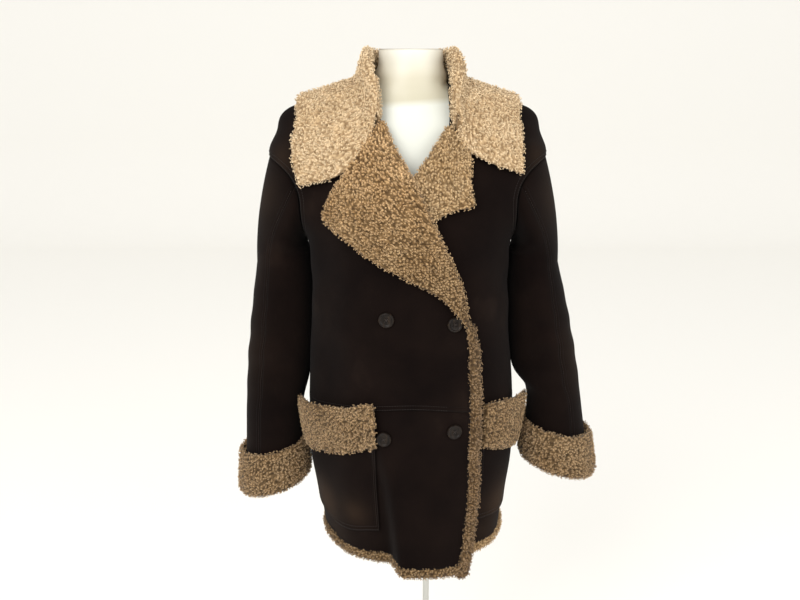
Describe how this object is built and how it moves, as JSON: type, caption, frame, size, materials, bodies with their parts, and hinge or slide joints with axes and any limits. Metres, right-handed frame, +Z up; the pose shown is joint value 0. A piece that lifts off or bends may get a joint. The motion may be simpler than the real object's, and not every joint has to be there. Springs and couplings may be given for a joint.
{
  "type": "shearling coat on a dress form",
  "caption": "Double-breasted suede coat with turned-out curly wool collar, lapels, cuffs and pocket bands, worn by a limbless dress form on a pole stand.",
  "frame": {"origin": "centre of the stand foot's flat underside, on the floor under the pole", "axes": "+Z up along the pole; -Y the way the coat faces; +X towards the wearer's left side"},
  "size_m": [0.6589, 0.3983, 1.4717],
  "materials": {
    "suede": "dark brown napped suede",
    "wool": "tan curly wool",
    "collar_wool": "paler tan curly wool",
    "horn": "dark mottled horn",
    "form": "smooth white",
    "steel": "brushed"
  },
  "bodies": {
    "root": {"right_front_upper": "suede", "right_front_lower": "suede", "left_front_upper": "suede", "left_front_lower": "suede", "back_upper": "suede", "back_lower": "suede", "right_sleeve_top": "suede", "right_sleeve_under": "suede", "left_sleeve_top": "suede", "left_sleeve_under": "suede", "right_cuff": "wool", "left_cuff": "wool", "right_lapel": "wool", "left_lapel": "wool", "collar": "collar_wool", "front_edge_wool": "wool", "right_hem_wool": "wool", "left_hem_wool": "wool", "back_hem_wool": "wool", "right_pocket": "suede", "right_pocket_band": "wool", "left_pocket": "suede", "left_pocket_band": "wool", "button_upper_outer": "horn", "button_upper_edge": "horn", "button_lower_outer": "horn", "button_lower_edge": "horn", "dress_form": "form", "stand_foot": "steel", "stand_hub": "steel", "stand_pole": "steel"}
  },
  "joints": []
}
